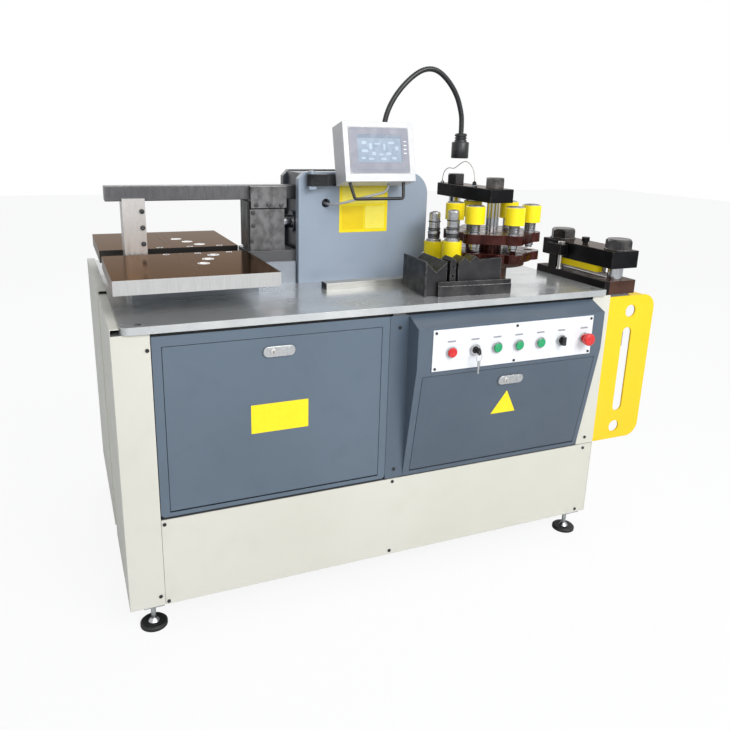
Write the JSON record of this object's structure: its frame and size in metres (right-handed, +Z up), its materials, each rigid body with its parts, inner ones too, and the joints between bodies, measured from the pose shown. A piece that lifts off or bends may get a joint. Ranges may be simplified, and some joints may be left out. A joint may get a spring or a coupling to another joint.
{
  "type": "busbar processing machine",
  "caption": "Bench-height hydraulic workstation that bends, punches and shears flat copper bars, with a control console, tool storage, display and work lamp.",
  "frame": {"origin": "centre of the bounding box on the floor", "axes": "+Z up, +X to the right along the front, +Y towards the back; the operator stands at -Y"},
  "size_m": [1.751, 1.091, 1.576],
  "materials": {
    "cream_paint": "semi-gloss powder coat",
    "slate_paint": "satin powder coat",
    "grey_paint": "satin paint",
    "yellow_paint": "gloss paint",
    "polished_steel": "hard chromed plate, near mirror",
    "ground_steel": "ground",
    "brown_oxide": "oiled brown oxide",
    "black_oxide": "oiled black oxide",
    "rod_steel": "hard chromed",
    "zinc": "zinc plated",
    "rubber": "matte",
    "black_plastic": "matte",
    "cable": "matte jacket",
    "panel_white": "satin sheet",
    "red_plastic": "gloss",
    "green_plastic": "gloss",
    "frame_steel": "primer"
  },
  "bodies": {
    "machine": {"anvil_post": "black_oxide", "back_table": "ground_steel", "bending_cylinder": "grey_paint", "button_panel": "panel_white", "cabinet_frame": "frame_steel", "console_shell": "slate_paint", "cover_screws": "black_plastic", "die_bars": "black_oxide", "die_end_plate": "black_oxide", "display_conduit": "cable", "front_housing_plate": "slate_paint", "front_table": "ground_steel", "left_corner_panel": "cream_paint", "left_side_panel": "cream_paint", "levelling_feet": "rubber", "lower_blade": "ground_steel", "lower_front_panel": "cream_paint", "pilot_lamp": "red_plastic", "power_unit": "grey_paint", "press_cylinders": "grey_paint", "rear_housing_plate": "slate_paint", "rear_panel": "cream_paint", "right_side_panel": "cream_paint", "shear_base": "brown_oxide", "side_bracket": "yellow_paint", "spare_punches": "black_oxide", "table_supports": "grey_paint", "tie_bar": "ground_steel", "toolbox_surround": "slate_paint", "turret_base": "brown_oxide", "v_die_block": "black_oxide", "worktop": "polished_steel"},
    "toolbox_door": {"toolbox_door": "slate_paint"},
    "toolbox_latch": {"toolbox_latch": "zinc"},
    "console_door": {"console_door": "slate_paint"},
    "console_latch": {"console_latch": "zinc"},
    "green_button_left": {"green_button_left": "green_plastic"},
    "green_button_middle": {"green_button_middle": "green_plastic"},
    "green_button_right": {"green_button_right": "green_plastic"},
    "stop_button": {"stop_button": "red_plastic"},
    "selector_knob": {"selector_knob": "black_plastic"},
    "switch_key": {"switch_key": "black_plastic"},
    "display": {"display_arm": "black_oxide", "display_case": "black_plastic"},
    "lamp": {"gooseneck": "black_plastic", "lamp_head": "black_plastic"},
    "ram": {"ram_rod": "rod_steel", "ram_block": "black_oxide", "ram_saddle": "black_oxide"},
    "turret": {"upper_disc": "brown_oxide", "lower_disc": "brown_oxide", "idle_punches": "black_oxide"},
    "working_punch": {"working_punch": "black_oxide"},
    "punch_press": {"punch_beam": "black_oxide", "punch_columns": "black_oxide", "sensor_wire": "cable"},
    "shear_press": {"shear_beam": "black_oxide", "shear_columns": "black_oxide", "upper_blade": "ground_steel"},
    "hold_down": {"hold_down_screw": "ground_steel"}
  },
  "joints": [
    {"name": "toolbox_door_hinge", "type": "hinge", "parent": "machine", "child": "toolbox_door", "pos_m": [-0.445, -0.4395, 0.3715], "axis": [1, 0, 0], "range_deg": [0, 90]},
    {"name": "toolbox_latch_turn", "type": "hinge", "parent": "toolbox_door", "child": "toolbox_latch", "pos_m": [-0.4615, -0.4465, 0.79], "axis": [0, 1, 0], "range_deg": [0, 90]},
    {"name": "console_door_hinge", "type": "hinge", "parent": "machine", "child": "console_door", "pos_m": [0.2775, -0.44309, 0.37096], "axis": [1, 0, 0], "range_deg": [0, 85]},
    {"name": "console_latch_turn", "type": "hinge", "parent": "console_door", "child": "console_latch", "pos_m": [0.2585, -0.4959, 0.64297], "axis": [0, 0.9862, 0.1657], "range_deg": [0, 90]},
    {"name": "stop_button_push", "type": "slide", "parent": "machine", "child": "stop_button", "axis": [0, 1, 0], "range_m": [0, 0.004]},
    {"name": "selector_turn", "type": "hinge", "parent": "machine", "child": "selector_knob", "pos_m": [0.4415, -0.5185, 0.755], "axis": [0, -1, 0], "range_deg": [-45, 45]},
    {"name": "switch_key_turn", "type": "hinge", "parent": "machine", "child": "switch_key", "pos_m": [0.1315, -0.5185, 0.755], "axis": [0, -1, 0], "range_deg": [0, 90]},
    {"name": "display_swing", "type": "hinge", "parent": "machine", "child": "display", "pos_m": [-0.2265, -0.0865, 1.214], "axis": [0, 0, 1], "range_deg": [-25, 0], "deforming": ["display_conduit"]},
    {"name": "lamp_swivel", "type": "hinge", "parent": "machine", "child": "lamp", "pos_m": [0.0565, 0.0155, 1.233], "axis": [0, 0, 1], "range_deg": [-60, 90]},
    {"name": "ram_slide", "type": "slide", "parent": "machine", "child": "ram", "axis": [-1, 0, 0], "range_m": [0, 0.12]},
    {"name": "turret_index", "type": "hinge", "parent": "machine", "child": "turret", "pos_m": [0.3515, -0.2245, 0.998], "axis": [0, 0, 1], "range_deg": [0, 300]},
    {"name": "punch_stroke", "type": "slide", "parent": "machine", "child": "punch_press", "axis": [0, 0, 1], "range_m": [-0.028, 0], "stiffness_N_per_m": 20000, "springref_m": 0.02},
    {"name": "working_punch_stroke", "type": "slide", "parent": "turret", "child": "working_punch", "axis": [0, 0, 1], "range_m": [-0.025, 0]},
    {"name": "shear_stroke", "type": "slide", "parent": "machine", "child": "shear_press", "axis": [0, 0, 1], "range_m": [-0.0175, 0], "stiffness_N_per_m": 25000, "springref_m": 0.02},
    {"name": "hold_down_travel", "type": "slide", "parent": "machine", "child": "hold_down", "axis": [0, 0, 1], "range_m": [0, 0.02]},
    {"name": "green_button_left_push", "type": "slide", "parent": "machine", "child": "green_button_left", "axis": [0, 1, 0], "range_m": [0, 0.003], "stiffness_N_per_m": 400},
    {"name": "green_button_middle_push", "type": "slide", "parent": "machine", "child": "green_button_middle", "axis": [0, 1, 0], "range_m": [0, 0.003], "stiffness_N_per_m": 400},
    {"name": "green_button_right_push", "type": "slide", "parent": "machine", "child": "green_button_right", "axis": [0, 1, 0], "range_m": [0, 0.003], "stiffness_N_per_m": 400}
  ],
  "couplings": [
    {"joint": "working_punch_stroke", "follows": "punch_stroke", "ratio": 0.89286}
  ]
}
